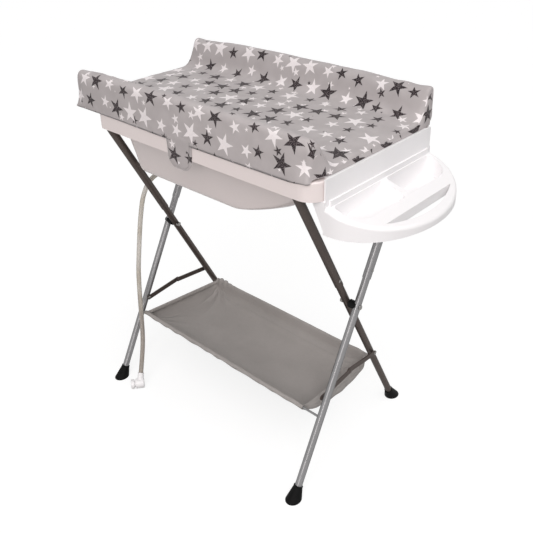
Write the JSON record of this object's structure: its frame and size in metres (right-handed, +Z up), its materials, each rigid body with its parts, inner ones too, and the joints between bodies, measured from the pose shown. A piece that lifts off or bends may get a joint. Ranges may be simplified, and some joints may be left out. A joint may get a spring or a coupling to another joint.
{
  "type": "changing table",
  "caption": "Folding changing table: padded mat with raised side bolsters over a white bath on a scissor stand of steel tube, with a side tray, cloth shelf and drain hose.",
  "frame": {"origin": "on the floor under the middle of the overall box", "axes": "+X along the bath towards the tray, +Y towards the far side, +Z up"},
  "size_m": [0.97, 0.536, 0.9819],
  "materials": {
    "grey_paint": "silver-grey powder coat",
    "steel": "zinc-plated steel",
    "black_plastic": "black moulded plastic",
    "foot_rubber": "black rubber",
    "white_plastic": "white moulded plastic",
    "clear_hose": "clear soft PVC",
    "shelf_cloth": "grey woven polyester",
    "mat_cover": "grey coated cloth with scattered white and charcoal stars",
    "board": "hardboard"
  },
  "bodies": {
    "outer_frame": {"outer_top_bow": "grey_paint", "outer_leg_left": "grey_paint", "outer_leg_right": "grey_paint", "bow_rivets_outer": "steel", "brace_pins_outer": "steel", "shelf_wire_front": "grey_paint", "foot_front_left": "foot_rubber", "foot_front_right": "foot_rubber", "pivot_bolts": "steel", "pivot_nuts": "steel", "pivot_spacers": "black_plastic", "shelf_cloth": "shelf_cloth"},
    "inner_frame": {"inner_top_bow": "grey_paint", "inner_leg_left": "grey_paint", "inner_leg_right": "grey_paint", "bow_rivets_inner": "steel", "brace_pins_inner": "steel", "shelf_wire_rear": "grey_paint", "foot_rear_left": "foot_rubber", "foot_rear_right": "foot_rubber"},
    "brace_outer_left": {"brace_link_outer_left": "grey_paint"},
    "brace_outer_right": {"brace_link_outer_right": "grey_paint"},
    "brace_inner_left": {"brace_link_inner_left": "grey_paint"},
    "brace_inner_right": {"brace_link_inner_right": "grey_paint"},
    "bath": {"tub_shell": "white_plastic", "drain_spout": "white_plastic", "drain_strainer": "white_plastic", "drain_hose": "clear_hose", "hose_clamp": "steel", "hose_elbow": "white_plastic", "side_tray": "white_plastic", "hinge_brackets": "black_plastic", "hinge_pins": "steel"},
    "hose_plug": {"hose_cap": "white_plastic"},
    "padded_mat": {"pad_board": "board", "pad_centre": "mat_cover", "bolster_near": "mat_cover", "bolster_far": "mat_cover", "pull_tab": "mat_cover", "hinge_leaves": "steel"}
  },
  "joints": [
    {"name": "bath_lift", "type": "slide", "parent": "outer_frame", "child": "bath", "axis": [0, 0.25, 0.9682], "range_m": [0, 0.76]},
    {"name": "scissor_fold", "type": "hinge", "parent": "outer_frame", "child": "inner_frame", "pos_m": [-0.073, 0, 0.46203], "axis": [-1, 0, 0], "range_deg": [0, 50.5], "deforming": ["shelf_cloth"]},
    {"name": "brace_outer_left_turn", "type": "hinge", "parent": "outer_frame", "child": "brace_outer_left", "pos_m": [-0.4177, -0.11682, 0.239], "axis": [1, 0, 0], "range_deg": [0, 53.96]},
    {"name": "brace_inner_left_turn", "type": "hinge", "parent": "inner_frame", "child": "brace_inner_left", "pos_m": [-0.4143, 0.11682, 0.239], "axis": [-1, 0, 0], "range_deg": [0, 53.96]},
    {"name": "brace_outer_right_turn", "type": "hinge", "parent": "outer_frame", "child": "brace_outer_right", "pos_m": [0.2717, -0.11682, 0.239], "axis": [1, 0, 0], "range_deg": [0, 53.96]},
    {"name": "brace_inner_right_turn", "type": "hinge", "parent": "inner_frame", "child": "brace_inner_right", "pos_m": [0.2683, 0.11682, 0.239], "axis": [-1, 0, 0], "range_deg": [0, 53.96]},
    {"name": "mat_flip", "type": "hinge", "parent": "bath", "child": "padded_mat", "pos_m": [-0.073, 0.236, 0.885], "axis": [-1, 0, 0], "range_deg": [0, 100]},
    {"name": "hose_plug_pull", "type": "slide", "parent": "bath", "child": "hose_plug", "axis": [-0.6018, -0.7986, 0], "range_m": [0, 0.02]}
  ],
  "couplings": [
    {"joint": "scissor_fold", "follows": "bath_lift", "rad_per_m": 1.1482},
    {"joint": "brace_outer_left_turn", "follows": "bath_lift", "rad_per_m": 1.2277},
    {"joint": "brace_inner_left_turn", "follows": "bath_lift", "rad_per_m": 1.2277},
    {"joint": "brace_outer_right_turn", "follows": "bath_lift", "rad_per_m": 1.2277},
    {"joint": "brace_inner_right_turn", "follows": "bath_lift", "rad_per_m": 1.2277}
  ]
}
